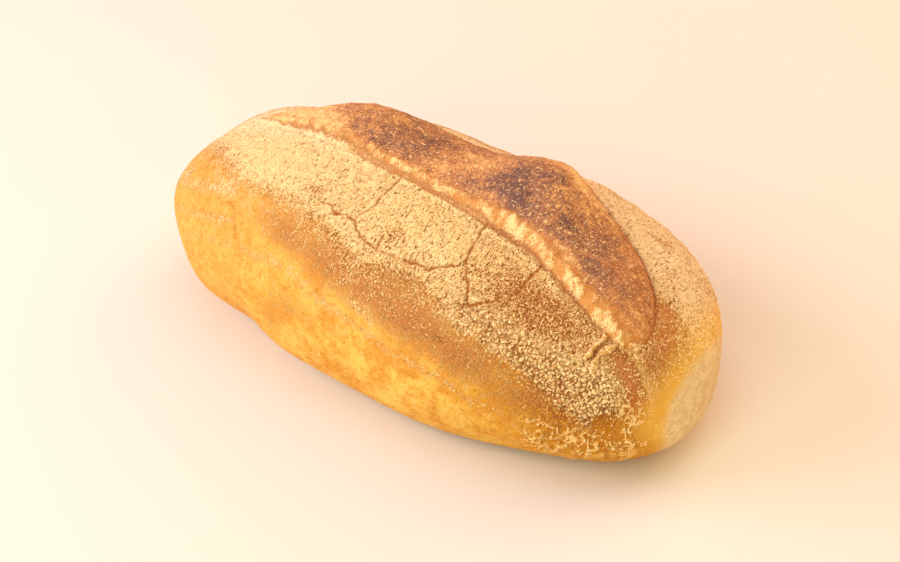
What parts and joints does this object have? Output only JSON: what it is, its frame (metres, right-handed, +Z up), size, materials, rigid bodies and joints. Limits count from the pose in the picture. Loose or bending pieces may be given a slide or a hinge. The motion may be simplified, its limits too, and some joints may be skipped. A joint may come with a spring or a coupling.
{
  "type": "sourdough loaf",
  "caption": "Oval free-form sourdough loaf with a lengthwise score burst into a raised dark ridge, cracked floured shoulders and a flat underside.",
  "frame": {"origin": "on the resting surface, under the middle of the loaf's bounding box", "axes": "+X along the loaf to its blunter end with the pale flat patch, +Z up, -Y towards the side with the wide floured shoulder"},
  "size_m": [0.2843, 0.146, 0.1115],
  "materials": {
    "crust": "dull baked crust: golden sides, pale floured shoulders, dark brown burst ridge"
  },
  "bodies": {
    "root": {"loaf": "crust"}
  },
  "joints": []
}
